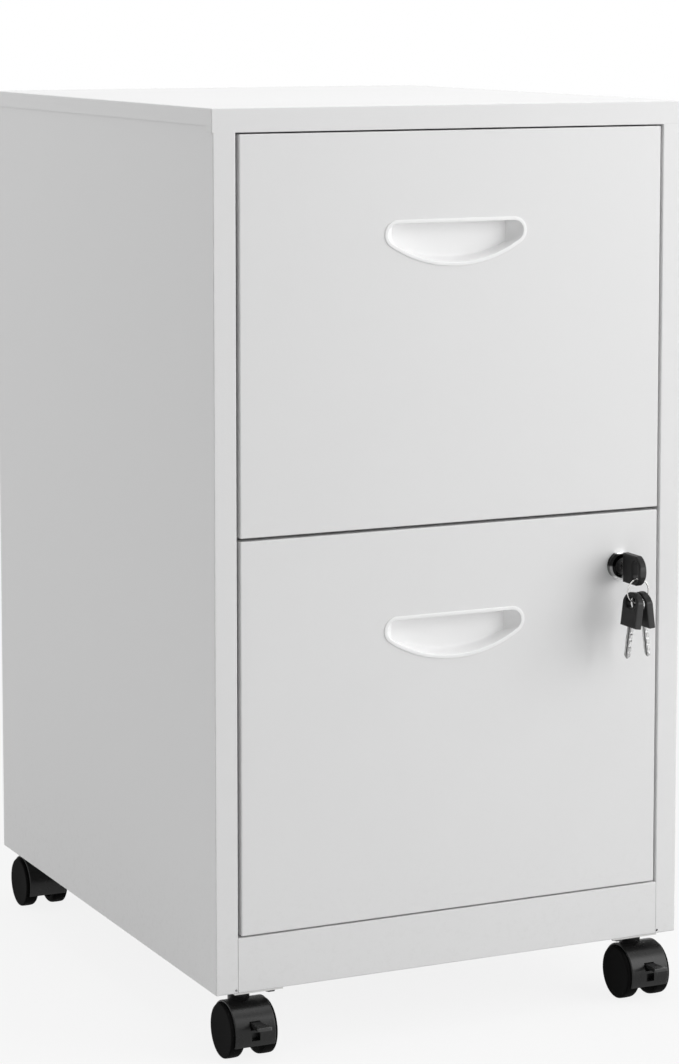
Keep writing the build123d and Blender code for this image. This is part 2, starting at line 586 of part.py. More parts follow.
with BuildPart() as key_blade:
    taper = BLADE_LENGTH - BLADE_POINT
    with BuildSketch(Plane.YZ.offset(-BLADE_THICKNESS / 2)):
        with BuildLine():
            half_width = BLADE_WIDTH / 2
            Polyline(
                (-BLADE_TANG, -half_width),
                (-BLADE_TANG, half_width),
                (taper, half_width),
                (BLADE_LENGTH, 0),
                (taper, -half_width),
                close=True,
            )
        make_face()
        notch_side = sqrt(2) * BLADE_NOTCH_DEPTH
        notch_middles = [taper - (row + 0.5) * BLADE_NOTCH_PITCH for row in range(BLADE_NOTCHES)]
        with Locations(*[(middle, -half_width) for middle in notch_middles]):
            Rectangle(notch_side, notch_side, rotation=45, mode=Mode.SUBTRACT)
    extrude(amount=BLADE_THICKNESS)
    for side in (-1, 1):
        slab(
            (side * BLADE_THICKNESS / 2, side * (BLADE_THICKNESS / 2 - BLADE_GROOVE_DEPTH)),
            (0, BLADE_LENGTH),
            (-BLADE_GROOVE / 2, BLADE_GROOVE / 2),
            mode=Mode.SUBTRACT,
        )

EYE_HANG = KEY_HEAD_LENGTH - EYE_EDGE - SPARE_KEY_HANG  # shoulder to where a hung key rests
KEY_PLACES = {"lock_key": Location((LOCK_X, Y_FACE - KEY_SHOULDER, LOCK_Z))}
for name, sign in (("left_spare_key", -1), ("right_spare_key", 1)):
    swing_point = (LOCK_X + sign * SPARE_KEY_OFFSET, Y_RING, Z_SPARE_KEY)
    hang = Location(swing_point, (0, -sign * SPARE_KEY_SPREAD, 0))
    KEY_PLACES[name] = hang * Location((0, 0, 0), (-90, 0, 0)) * Location((0, EYE_HANG, 0))
for name, place in KEY_PLACES.items():
    save(key_head.part.moved(place), f"{name}_head")
    save(key_blade.part.moved(place), f"{name}_blade")

with BuildPart() as key_ring:
    with Locations(Location((LOCK_X, Y_RING, Z_RING), (90, 0, 0))):
        Torus(RING_MEAN_RADIUS, RING_WIRE / 2)
save(key_ring.part, "key_ring")


# Casters, each made with its stem on the Z axis and its hood to the front
def caster_hood(has_brake):
    """A moulded hood over both wheels, with a web between them and a neck on the stem."""
    axle_plane = Plane(origin=(0, -CASTER_TRAIL, AXLE_HEIGHT), x_dir=(0, -1, 0), z_dir=(-1, 0, 0))
    inner = HOOD_RADIUS - HOOD_WALL
    far = 2 * HOOD_RADIUS
    neck_top = PLATE_BOTTOM - NECK_GAP
    with BuildPart() as hood:
        with BuildSketch(axle_plane.offset(-HOOD_HALF)):
            Circle(HOOD_RADIUS)
        extrude(amount=2 * HOOD_HALF)
        fillet(hood.edges(), HOOD_ROUND)
        with BuildSketch(Plane.XY.offset(AXLE_HEIGHT)):
            Circle(NECK_DIAMETER / 2)
        extrude(amount=neck_top - AXLE_HEIGHT)
        with BuildSketch(axle_plane.offset(-HOOD_HALF)):
            plate((-far, far), (-far, HOOD_EDGE - AXLE_HEIGHT))
        extrude(amount=2 * HOOD_HALF, mode=Mode.SUBTRACT)
        for side in (-1, 1):
            with BuildSketch(axle_plane.offset(side * WEB_HALF)):
                Circle(inner)
            extrude(amount=side * (HOOD_HALF - WEB_HALF), mode=Mode.SUBTRACT)
        with BuildSketch(axle_plane.offset(-WEB_HALF)):
            Circle(AXLE_DIAMETER / 2)
        extrude(amount=2 * WEB_HALF, mode=Mode.SUBTRACT)
        with BuildSketch(Plane.XY.offset(neck_top)):
            Circle(STEM_DIAMETER / 2 + AXLE_FIT)
        extrude(amount=-STEM_SOCKET - AXLE_FIT, mode=Mode.SUBTRACT)
        if has_brake:
            pocket = LEVER_WIDTH / 2 + LEVER_SIDE_GAP
            room = LEVER_THICKNESS / 2 + LEVER_SIDE_GAP
            rest, pressed = radians(LEVER_TILT), radians(LEVER_TILT + LEVER_SWING)
            with BuildSketch(Plane(origin=(pocket, LEVER_Y, LEVER_Z), x_dir=(0, -1, 0), z_dir=(-1, 0, 0))):
                Circle(LEVER_PIVOT_DIAMETER / 2 + LEVER_SIDE_GAP)
                with BuildLine():
                    Polyline(
                        (room * sin(rest), room * cos(rest)),
                        (far * cos(rest) + room * sin(rest), -far * sin(rest) + room * cos(rest)),
                        (far * cos(pressed) - room * sin(pressed), -far * sin(pressed) - room * cos(pressed)),
                        (-room * sin(pressed), -room * cos(pressed)),
                        close=True,
                    )
                make_face()
            extrude(amount=2 * pocket, mode=Mode.SUBTRACT)
            with Locations(Location((0, LEVER_Y, LEVER_Z), (0, 90, 0))):
                Cylinder(LEVER_PIN_DIAMETER / 2 + AXLE_FIT, 2 * WEB_HALF, mode=Mode.SUBTRACT)
            window_z = AXLE_HEIGHT + HOOD_WINDOW_RISE
            slab(
                (-HOOD_WINDOW_WIDTH / 2, HOOD_WINDOW_WIDTH / 2),
                (-CASTER_TRAIL - HOOD_RADIUS, -CASTER_TRAIL - HOOD_RADIUS + HOOD_WINDOW_DEPTH),
                (window_z - HOOD_WINDOW_HEIGHT / 2, window_z + HOOD_WINDOW_HEIGHT / 2),
                mode=Mode.SUBTRACT,
            )
    return hood.part


def caster_wheel():
    """One wheel, turned about its axle: round tread, flat disc outside and a blind hub bore."""
    radius = WHEEL_DIAMETER / 2
    near, outer = WHEEL_GAP / 2, WHEEL_GAP / 2 + WHEEL_WIDTH
    bore = AXLE_DIAMETER / 2 + AXLE_FIT
    with BuildPart() as wheel:
        with BuildSketch(Plane.XZ):
            plate((near, outer), (0, radius))
            plate((near, outer - WHEEL_END_WALL), (0, bore), mode=Mode.SUBTRACT)
        revolve(axis=Axis.X)
        rims = wheel.edges().filter_by(GeomType.CIRCLE).sort_by(Axis.X)
        rims = rims.filter_by(lambda edge: abs(edge.radius - radius) < AXLE_FIT)
        fillet(rims[:1], WHEEL_ROUND)
        fillet(rims[-1:], WHEEL_EDGE)
    return wheel.part.moved(Location((0, -CASTER_TRAIL, AXLE_HEIGHT)))


def brake_lever():
    """A tongue on a pivot boss, made level and then tipped to the angle it rests at."""
    reach = LEVER_PIVOT_DEPTH + LEVER_REACH
    neck, tip = LEVER_WIDTH / 2, LEVER_TIP_WIDTH / 2
    with BuildPart() as lever:
        with BuildSketch(Plane.XY.offset(-LEVER_THICKNESS / 2)):
            with BuildLine():
                Polyline(
                    (neck, 0),
                    (neck, -LEVER_PIVOT_DEPTH - LEVER_SIDE_GAP),
                    (tip, -reach),
                    (-tip, -reach),
                    (-neck, -LEVER_PIVOT_DEPTH - LEVER_SIDE_GAP),
                    (-neck, 0),
                    close=True,
                )
            make_face()
        extrude(amount=LEVER_THICKNESS)
        fillet(lever.edges().filter_by(Axis.Z).sort_by(Axis.Y)[:2], LEVER_CORNER)
        fillet(lever.faces().sort_by(Axis.Z)[-1].edges().sort_by(Axis.Y)[:1], LEVER_ROUND)
        with Locations(Location((0, 0, 0), (0, 90, 0))):
            Cylinder(LEVER_PIVOT_DIAMETER / 2, LEVER_WIDTH)
            Cylinder(LEVER_PIN_DIAMETER / 2, 2 * (WEB_HALF - LEVER_PIN_GAP))
    return lever.part.moved(Location((0, LEVER_Y, LEVER_Z), (LEVER_TILT, 0, 0)))


hoods = {"front": caster_hood(True), "rear": caster_hood(False)}
wheels = {"right": caster_wheel()}
wheels["left"] = mirror(wheels["right"], about=Plane.YZ)
lever = brake_lever()
with BuildPart() as axle:
    with Locations(Location((0, -CASTER_TRAIL, AXLE_HEIGHT), (0, 90, 0))):
        Cylinder(AXLE_DIAMETER / 2, WHEEL_GAP + 2 * (WHEEL_WIDTH - WHEEL_END_WALL) - 2 * AXLE_FIT)

for corner, (x, y, turn) in CASTER_PLACES.items():
    end = corner.split("_")[0]
    place = Location((x, y, 0), (0, 0, turn))
    save(hoods[end].moved(place), f"{corner}_caster_hood")
    save(axle.part.moved(place), f"{corner}_caster_axle")
    for side, wheel in wheels.items():
        save(wheel.moved(place), f"{corner}_caster_{side}_wheel")
    if end == "front":
        save(lever.moved(place), f"{corner}_brake_lever")

with BuildPart() as caster_stems:
    with BuildSketch(Plane.XY.offset(PLATE_BOTTOM - NECK_GAP - STEM_SOCKET)):
        with Locations(*STEM_POINTS):
            Circle(STEM_DIAMETER / 2)
    extrude(amount=Z_FLOOR + STEM_ABOVE - PLATE_BOTTOM + NECK_GAP + STEM_SOCKET)
save(caster_stems.part, "caster_stems")

with BuildPart() as caster_plates:
    with BuildSketch(Plane.XY.offset(PLATE_BOTTOM)):
        for (stem_x, stem_y), (bolt_x, bolt_y) in zip(STEM_POINTS, BOLT_POINTS):
            out, along = (1 if stem_x > 0 else -1), (1 if stem_y > 0 else -1)
            plate(
                (stem_x + out * PLATE_STEM_MARGIN, bolt_x - out * PLATE_BOLT_MARGIN),
                (bolt_y + along * PLATE_BOLT_MARGIN, stem_y - along * PLATE_STEM_MARGIN),
            )
        with Locations(*STEM_POINTS):
            Circle(STEM_DIAMETER / 2, mode=Mode.SUBTRACT)
        with Locations(*BOLT_POINTS):
            Circle(BOLT_DIAMETER / 2, mode=Mode.SUBTRACT)
    extrude(amount=CASTER_PLATE)
save(caster_plates.part, "caster_plates")

with BuildPart() as caster_bolts:
    with BuildSketch(Plane.XY.offset(PLATE_BOTTOM)):
        with Locations(*BOLT_POINTS):
            Circle(BOLT_DIAMETER / 2)
    extrude(amount=Z_FLOOR - PLATE_BOTTOM)
    with BuildSketch(Plane.XY.offset(PLATE_BOTTOM)):
        with Locations(*BOLT_POINTS):
            RegularPolygon(BOLT_HEAD_DIAMETER / 2, 6)
    extrude(amount=-BOLT_HEAD_HEIGHT)
save(caster_bolts.part, "caster_bolts")
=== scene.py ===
# %% [markdown]
# # A steel filing cabinet on casters
#
# The cabinet comes from its CAD model with every panel, drawer, slide, wheel and key in place and at
# its real size. This lesson dresses it for the camera. It gives each surface a finish worked out by
# shader nodes, rebuilds the moulded pieces whose curves catch the light as smooth surfaces, and sets
# up a small white studio. No CAD piece is moved, because the joints belong to the CAD model.

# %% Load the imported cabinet
import json
from math import cos, pi, radians, sin

import bmesh
import bpy
import numpy as np
from mathutils import Euler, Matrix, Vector


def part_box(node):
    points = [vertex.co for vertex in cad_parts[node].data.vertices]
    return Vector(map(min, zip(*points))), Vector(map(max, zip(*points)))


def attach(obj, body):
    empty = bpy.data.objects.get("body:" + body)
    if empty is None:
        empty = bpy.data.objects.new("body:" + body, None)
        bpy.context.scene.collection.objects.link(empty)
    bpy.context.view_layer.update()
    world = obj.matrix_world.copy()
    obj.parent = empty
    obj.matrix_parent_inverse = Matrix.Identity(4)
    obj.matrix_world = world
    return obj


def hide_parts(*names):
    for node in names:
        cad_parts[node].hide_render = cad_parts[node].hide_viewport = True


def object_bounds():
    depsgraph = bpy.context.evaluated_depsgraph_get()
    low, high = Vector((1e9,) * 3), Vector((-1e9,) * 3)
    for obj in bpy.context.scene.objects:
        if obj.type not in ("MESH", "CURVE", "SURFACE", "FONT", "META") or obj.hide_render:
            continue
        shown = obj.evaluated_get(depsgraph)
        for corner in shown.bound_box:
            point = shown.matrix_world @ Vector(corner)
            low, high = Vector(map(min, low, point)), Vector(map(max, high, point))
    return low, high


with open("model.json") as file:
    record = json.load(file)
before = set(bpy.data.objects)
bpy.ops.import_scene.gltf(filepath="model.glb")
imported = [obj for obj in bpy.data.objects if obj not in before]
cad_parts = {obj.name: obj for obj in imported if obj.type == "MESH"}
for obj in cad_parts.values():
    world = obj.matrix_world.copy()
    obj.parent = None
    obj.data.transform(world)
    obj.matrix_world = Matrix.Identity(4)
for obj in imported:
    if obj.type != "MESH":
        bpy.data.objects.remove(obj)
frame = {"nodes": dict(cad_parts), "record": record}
cad_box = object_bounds()
MM = 0.001
node_slot = {part["node"]: part["material_slot"] for part in frame["record"]["subparts"]}
node_body = {node: body for body, nodes in frame["record"]["behaviour"]["bodies"].items() for node in nodes}


# %% [markdown]
# ## Shader sums in plain Python
#
# A finish is a long sum: a little noise here, a mask there, one taken from the other. Drawing that as
# nodes by hand is slow to read back, so a small class wraps a socket and lets Python's own operators
# add the Math nodes. Anything that isn't arithmetic comes from one method, which takes a node's type,
# its settings and what goes into its sockets.

# %% A socket that can be added, multiplied and compared
class Wire:
    """One output of a material's node tree. Arithmetic on it adds a Math node and gives its output."""

    def __init__(self, tree, socket=None):
        self.tree, self.socket = tree, socket

    def node(self, kind, settings=None, inputs=None, out=0):
        """Adds any node: its settings first, then the number, colour or wire of each named socket."""
        made = self.tree.nodes.new(kind)
        for name, value in (settings or {}).items():
            setattr(made, name, value)
        for name, value in (inputs or {}).items():
            if isinstance(value, Wire):
                self.tree.links.new(value.socket, made.inputs[name])
            else:
                made.inputs[name].default_value = value
        return Wire(self.tree, made.outputs[out])

    def sum(self, operation, first, second):
        """Adds one Math node that works on two numbers or wires."""
        return self.node("ShaderNodeMath", {"operation": operation}, {0: first, 1: second})

    def __add__(self, other):
        return self.sum("ADD", self, other)

    __radd__ = __add__

    def __sub__(self, other):
        return self.sum("SUBTRACT", self, other)

    def __rsub__(self, other):
        return self.sum("SUBTRACT", other, self)

    def __mul__(self, other):
        return self.sum("MULTIPLY", self, other)

    __rmul__ = __mul__

    def __and__(self, other):
        return self.sum("MINIMUM", self, other)

    def __or__(self, other):
        return self.sum("MAXIMUM", self, other)

    def __abs__(self):
        return self.sum("ABSOLUTE", self, 0.0)


# %% Ramps and colours
EVEN = (1.0, 1.0, 1.0)
MIX_SHARE, MIX_FIRST, MIX_SECOND, MIX_COLOUR = 0, 6, 7, 2


def step(value, low, high):
    """Nought below one value, one above the other and a smooth ramp between them."""
    inputs = {"Value": value, "From Min": low, "From Max": high}
    return value.node("ShaderNodeMapRange", {"interpolation_type": "SMOOTHSTEP"}, inputs)


def blend(share, first, second):
    """Two colours mixed by a share from nought to one.

    A Mix node has sockets for numbers, vectors and colours under the same names, so the ones for
    colours go by their numbers."""
    inputs = {MIX_SHARE: share, MIX_FIRST: first, MIX_SECOND: second}
    return share.node("ShaderNodeMix", {"data_type": "RGBA"}, inputs, out=MIX_COLOUR)


def grey(value, tint=EVEN):
    """A colour of that brightness, with the fourth number that Blender's colours need."""
    return (value * tint[0], value * tint[1], value * tint[2], 1.0)


# %% [markdown]
# ## A finish and its patterns
#
# Every finish starts from the Principled shader and is varied by noise. The noise reads the object's
# own coordinates, in metres, so a blot has a real size and stays where it is on a drawer that slides
# or a caster that turns. Wear needs to know where a panel's folds are. They lie along the edges of
# its box, so a mask is worked out from that box instead of being painted.

# %% Noise, coordinates and the shader at the end
class Finish:
    """A material under way: its Principled shader, and the object coordinates that its patterns read."""

    def __init__(self, name, **constants):
        self.material = bpy.data.materials.new(name)
        self.material.use_nodes = True
        tree = self.material.node_tree
        self.shader = tree.nodes["Principled BSDF"]
        for socket, value in constants.items():
            self.shader.inputs[socket.replace("_", " ")].default_value = value
        self.place = Wire(tree).node("ShaderNodeTexCoord", out="Object")
        axes = self.place.node("ShaderNodeSeparateXYZ", inputs={"Vector": self.place})
        outputs = axes.socket.node.outputs
        self.x, self.y, self.z = (Wire(tree, outputs[axis]) for axis in "XYZ")

    def noise(self, size, detail=2.0, stretch=EVEN, sharp=0.5):
        """Cloudy noise with blots of about that size in metres, drawn out along an axis by its stretch."""
        scale = tuple(1.0 / (size * along) for along in stretch)
        point = self.place.node("ShaderNodeMapping", inputs={"Vector": self.place, "Scale": scale})
        inputs = {"Vector": point, "Scale": 1.0, "Detail": detail, "Roughness": sharp}
        return point.node("ShaderNodeTexNoise", inputs=inputs)

    def edge(self, node, width):
        """One along the edges of a node's box and nought further in than a width.

        A point's distances to the box's faces are taken along each axis. On a face one of the three
        is nought, so the middle one of the three is the distance to the nearest edge."""
        low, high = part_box(node)
        near = [(axis - low[i]) & (high[i] - axis) for i, axis in enumerate((self.x, self.y, self.z))]
        middle = (near[0] & near[1]) | ((near[0] | near[1]) & near[2])
        return 1.0 - step(middle, 0.0, width)

    def done(self, bump, depth, **wires):
        """Links what varies to the shader's sockets, with a height in metres as its bump."""
        tree = self.material.node_tree
        for socket, wire in wires.items():
            tree.links.new(wire.socket, self.shader.inputs[socket.replace("_", " ")])
        inputs = {"Height": bump, "Distance": depth, "Strength": 1.0}
        normal = bump.node("ShaderNodeBump", inputs=inputs)
        tree.links.new(normal.socket, self.shader.inputs["Normal"])
        return self.material


# %% [markdown]
# ## White enamel on sheet steel
#
# The panels are powder coated: the powder flows as it is baked and leaves a faint orange peel, one or
# two millimetres from hill to hill, with a satin gloss. A flat white would look like card. Here the
# peel is a bump, the gloss drifts over the sheet, the coat runs thin on the folds, and a little dust
# lies low down, where a floor is swept past it.

# %% Enamel for one panel
RESIN_IOR = 1.5
ENAMEL = 0.82
ENAMEL_ROUGH = 0.4
PEEL_SIZE = 1.6 * MM
PEEL_DEPTH = 0.025 * MM
DRIFT_SIZE = 120 * MM
FOLD_WIDTH = 1.6 * MM
FOLD_WEAR_SIZE = 18 * MM
DUST_FULL = 50 * MM
DUST_TOP = 160 * MM
DUST_SPECK = 4 * MM
DUST_GREY = 0.5
DUST_TINT = (1.0, 0.97, 0.92)
SCUFF_SIZE = 6 * MM
SCUFF_STRETCH = (9.0, 9.0, 1.0)


def enamel(node):
    """White powder coat for one node, with wear along the edges of that node's own box."""
    coat = Finish(f"enamel_{node}", IOR=RESIN_IOR)
    peel = coat.noise(PEEL_SIZE)
    drift = coat.noise(DRIFT_SIZE, detail=3.0)
    speck = coat.noise(DUST_SPECK, detail=3.0, sharp=0.7)
    worn = step(coat.noise(FOLD_WEAR_SIZE, detail=3.0), 0.42, 0.62)
    rubbed = coat.edge(node, FOLD_WIDTH) * worn
    dust = (1.0 - step(coat.z, DUST_FULL, DUST_TOP)) * step(speck, 0.48, 0.72)
    scuff = step(coat.noise(SCUFF_SIZE, detail=4.0, stretch=SCUFF_STRETCH, sharp=0.6), 0.66, 0.74)
    colour = blend(drift, grey(ENAMEL * 0.985), grey(ENAMEL * 1.01))
    colour = blend(rubbed * 0.5, colour, grey(ENAMEL * 0.9))
    colour = blend(dust * 0.06, colour, grey(DUST_GREY, DUST_TINT))
    rough = ENAMEL_ROUGH + drift * 0.1 + dust * 0.2 + scuff * 0.06 - rubbed * 0.08
    return coat.done(peel, PEEL_DEPTH, Base_Color=colour, Roughness=rough)


# %% [markdown]
# ## Moulded plastics
#
# The pulls are white and a little glossier than the enamel, because they come out of a polished
# mould. The casters and the key heads are black. Black plastic shows little colour, so its gloss does
# the work: a fine grain from the mould, clouds in the gloss, and pale scuffs where it gets knocked.
# The front edges of the key heads and the brake levers are painted paler: painted light from the front.

# %% White pulls
PULL_WHITE = 0.93
PULL_PALEST = 0.95
PULL_ROUGH = 0.34
PULL_GRAIN_SIZE = 0.9 * MM
PULL_GRAIN_DEPTH = 0.008 * MM
PULL_DRIFT_SIZE = 30 * MM
HANDLED_HEIGHT = 12 * MM
HANDLED_INNER = 10 * MM
HANDLED_OUTER = 45 * MM


def pull_plastic(node):
    """Satin white plastic, polished by fingers towards the middle of the cup's upper edge."""
    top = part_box(node)[1].z
    moulding = Finish(f"pull_plastic_{node}", IOR=RESIN_IOR)
    grain = moulding.noise(PULL_GRAIN_SIZE)
    drift = moulding.noise(PULL_DRIFT_SIZE)
    middle = 1.0 - step(abs(moulding.x), HANDLED_INNER, HANDLED_OUTER)
    handled = step(moulding.z, top - HANDLED_HEIGHT, top) * middle
    colour = blend(drift, grey(PULL_WHITE), grey(PULL_PALEST))
    rough = PULL_ROUGH + drift * 0.06 - handled * 0.08
    return moulding.done(grain, PULL_GRAIN_DEPTH, Base_Color=colour, Roughness=rough)


# %% Black mouldings
CLOUD_SIZE = 12 * MM
KNOCK_SIZE = 1.2 * MM
KNOCK_STRETCH = (5.0, 1.0, 1.0)
KNOCK_GREY = 0.2
LINT_SIZE = 0.7 * MM
PAINTED_LIT_EDGE_GREY = 0.06
LIT_EDGE_FULL = 0.3 * MM
LIT_EDGE_END = 0.9 * MM


def black_plastic(name, shade, rough, gloss, grain_size=0.5 * MM, grain_depth=0.02 * MM, front=None):
    """Black moulded plastic: a fine grain, cloudy gloss, and pale scuffs where it gets knocked.

    Where the place of a front edge is given, that edge is painted paler: painted light from the front."""
    moulding = Finish(name, IOR=RESIN_IOR, Specular_IOR_Level=gloss)
    grain = moulding.noise(grain_size)
    cloud = moulding.noise(CLOUD_SIZE, detail=3.0)
    knock = moulding.noise(KNOCK_SIZE, detail=4.0, stretch=KNOCK_STRETCH, sharp=0.65)
    scuff = step(knock, 0.64, 0.74)
    dust = step(moulding.noise(LINT_SIZE, detail=3.0, sharp=0.7), 0.6, 0.8)
    colour = blend(cloud, grey(shade * 0.85), grey(shade * 1.15))
    colour = blend(scuff * 0.08 + dust * 0.02, colour, grey(KNOCK_GREY))
    surface = rough - 0.06 + cloud * 0.12 + scuff * 0.1
    if front is not None:
        # Painted highlight: the front edge is painted paler, standing for the light that falls on it from
        # the front.
        edge = 1.0 - step(moulding.y, front + LIT_EDGE_FULL, front + LIT_EDGE_END)
        colour = blend(edge * (0.6 + cloud * 0.6), colour, grey(PAINTED_LIT_EDGE_GREY))
    return moulding.done(grain, grain_depth, Base_Color=colour, Roughness=surface)


# %% [markdown]
# ## Bare and plated metal
#
# The slides are zinc plated, drawn through rollers along their length, so their fine lines run from
# front to back. The keys are nickel plated and scratched by use. Both come from noise that is drawn
# out a long way in one direction, which gives lines of uneven length where stripes would look printed.

# %% Drawn and polished plating
LINE_SIZE = 0.35 * MM
LINE_DEPTH = 0.006 * MM
METAL_CLOUD_SIZE = 20 * MM
STAIN_SIZE = 9 * MM
SCRATCH_SIZE = 0.25 * MM
SCRATCH_DEPTH = 0.008 * MM
SCRATCH_STRETCH = (1.0, 6.0, 14.0)
BLOOM_SIZE = 4 * MM


def drawn_metal(name, shade, rough, along, tint=EVEN):
    """Metal with fine lines along one direction: noise drawn out a long way along it."""
    metal = Finish(name, Metallic=1.0)
    lines = metal.noise(LINE_SIZE, detail=3.0, stretch=along)
    cloud = metal.noise(METAL_CLOUD_SIZE, detail=3.0)
    stain = step(metal.noise(STAIN_SIZE, detail=4.0, sharp=0.65), 0.58, 0.78)
    colour = blend(lines, grey(shade * 0.86, tint), grey(shade * 1.08, tint))
    colour = blend(stain * 0.35, colour, grey(shade * 0.55, tint))
    surface = rough + lines * 0.12 + cloud * 0.06 + stain * 0.12
    return metal.done(lines, LINE_DEPTH, Base_Color=colour, Roughness=surface)


def polished_metal(name, shade, rough, tint=EVEN):
    """A plated, polished metal with a few hair scratches and a cloudy bloom."""
    metal = Finish(name, Metallic=1.0)
    hairs = metal.noise(SCRATCH_SIZE, detail=3.0, stretch=SCRATCH_STRETCH, sharp=0.6)
    scratch = step(hairs, 0.6, 0.72)
    bloom = metal.noise(BLOOM_SIZE, detail=3.0)
    colour = blend(bloom, grey(shade * 0.88, tint), grey(shade * 1.06, tint))
    surface = rough + bloom * 0.1 + scratch * 0.14
    return metal.done(scratch, SCRATCH_DEPTH, Base_Color=colour, Roughness=surface)


# %% [markdown]
# ## Blades of the spare keys
#
# A groove is milled down the middle of a key's blade, and lets it into the keyway. On a blade this small
# the shade in it reads as one dark line, so it is a band of painted shade that fades out near the
# upper end.

# %% Spare key blades
BLADE_LINE_SIZE = 0.5 * MM
BLADE_LINE_DEPTH = 0.01 * MM
BLADE_STRETCH = (1.0, 1.0, 30.0)
BLADE_WEAR_SIZE = 0.9 * MM
BLADE_LINE_AND_REFLECTION_DARK = 0.34
BLADE_LINE_AND_REFLECTION_BRIGHT = 0.78
BLADE_ROUGH = 0.2
GROOVE_PAINTED_SHADE = 0.05
GROOVE_FLAT = 0.5 * MM
GROOVE_EDGE = 0.9 * MM
GROOVE_FADE = 6 * MM
GROOVE_END = 4 * MM


def key_blade(node):
    """Nickel-plated steel: lines down it, partly painted reflection, and a painted shade in its groove."""
    low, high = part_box(node)
    metal = Finish(f"key_blade_{node}", Metallic=1.0)
    lines = metal.noise(BLADE_LINE_SIZE, detail=3.0, stretch=BLADE_STRETCH, sharp=0.6)
    wear = metal.noise(BLADE_WEAR_SIZE, detail=3.0, sharp=0.7)
    milled = 1.0 - step(abs(metal.y - (low.y + high.y) / 2), GROOVE_FLAT, GROOVE_EDGE)
    milled = milled * (1.0 - step(metal.z, high.z - GROOVE_FADE, high.z - GROOVE_END))
    # The dark and pale streaks are partly drawn lines and partly painted reflection.
    colour = blend(step(lines, 0.35, 0.65), grey(BLADE_LINE_AND_REFLECTION_DARK), grey(BLADE_LINE_AND_REFLECTION_BRIGHT))
    # Painted shade in the milled groove, fading out near the upper end.
    colour = blend(milled * (0.75 + wear * 0.25), colour, grey(GROOVE_PAINTED_SHADE))
    rough = BLADE_ROUGH + wear * 0.2 + milled * 0.15
    return metal.done(lines, BLADE_LINE_DEPTH, Base_Color=colour, Roughness=rough)


# %% [markdown]
# ## The lock's collar
#
# The collar is a polished ring with a dark plating. Where such a ring is round, its upper half
# mirrors a dark room and its lower half the white front and floor. This studio is white on every
# side, so bands by height stand for those reflections.

# %% Collar plating
COLLAR_SCRATCH_SIZE = 0.3 * MM
COLLAR_SCRATCH_DEPTH = 0.006 * MM
COLLAR_STRETCH = (8.0, 1.0, 8.0)
COLLAR_ROUGH = 0.1
COLLAR_PAINTED_DARK_REFLECTION = 0.012
COLLAR_PAINTED_PALE_REFLECTION = 0.2
COLLAR_PAINTED_FOOT_REFLECTION = 0.55
COLLAR_PAINTED_LIP_HIGHLIGHT = 0.9
FOOT_BAND = (0.1, 0.2)
MIDDLE_BAND = (0.48, 0.56)
LIP_BAND = (0.93, 0.97)


def collar_painted_reflections(node):
    """Dark plating on the lock's turned collar, with painted reflections: dark above, pale at its foot.

    A band fades between two shares of the collar's height, and hair scratches run round the ring."""
    low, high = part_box(node)
    metal = Finish(f"collar_painted_reflections_{node}", Metallic=1.0)
    height = (metal.z - low.z) * (1.0 / (high.z - low.z))
    hairs = metal.noise(COLLAR_SCRATCH_SIZE, detail=3.0, stretch=COLLAR_STRETCH, sharp=0.6)
    scratch = step(hairs, 0.58, 0.72)
    bloom = metal.noise(BLOOM_SIZE, detail=3.0)
    # Painted reflections by height: dark above the middle, pale below it, paler at the foot, and a painted
    # highlight round the lip.
    colour = blend(step(height, *MIDDLE_BAND), grey(COLLAR_PAINTED_PALE_REFLECTION), grey(COLLAR_PAINTED_DARK_REFLECTION))
    colour = blend(1.0 - step(height, *FOOT_BAND), colour, grey(COLLAR_PAINTED_FOOT_REFLECTION))
    colour = blend(step(height, *LIP_BAND), colour, grey(COLLAR_PAINTED_LIP_HIGHLIGHT))
    rough = COLLAR_ROUGH + bloom * 0.08 + scratch * 0.12
    return metal.done(scratch, COLLAR_SCRATCH_DEPTH, Base_Color=colour, Roughness=rough)


# %% [markdown]
# ## A finish for every CAD node
#
# The record names a material slot for each node. Most slots need one material that all their nodes
# share. Enamel and pulls are worn by the place of their own edges. Key heads and brake levers carry a
# painted highlight, spare blades a painted shade and the collar painted reflections, each placed by
# its own box, so each of those nodes gets a material of its own.

# %% Put a finish on every CAD node
LENGTHWAYS = (1.0, 160.0, 1.0)
ROUND_THE_POST = (20.0, 20.0, 1.0)
ZINC_TINT = (1.0, 1.0, 0.985)
NICKEL_TINT = (1.0, 0.99, 0.97)
CASTER_BLACK = dict(shade=0.011, rough=0.28, gloss=0.3)
KEY_BLACK = dict(shade=0.013, rough=0.36, gloss=0.16, grain_size=0.35 * MM, grain_depth=0.012 * MM)
LOCK_BLACK = dict(shade=0.02, rough=0.3, gloss=0.5, grain_size=0.3 * MM, grain_depth=0.006 * MM)
finishes = {
    "caster_plastic": black_plastic("caster_plastic", **CASTER_BLACK),
    "wheel_plastic": black_plastic("wheel_plastic", shade=0.007, rough=0.5, gloss=0.008),
    "dark_steel": drawn_metal("dark_steel", shade=0.1, rough=0.34, along=ROUND_THE_POST),
    "zinc_steel": drawn_metal("zinc_steel", shade=0.6, rough=0.28, along=LENGTHWAYS, tint=ZINC_TINT),
    "lock_black": black_plastic("lock_black", **LOCK_BLACK),
    "key_steel": polished_metal("key_steel", shade=0.72, rough=0.2, tint=NICKEL_TINT),
}


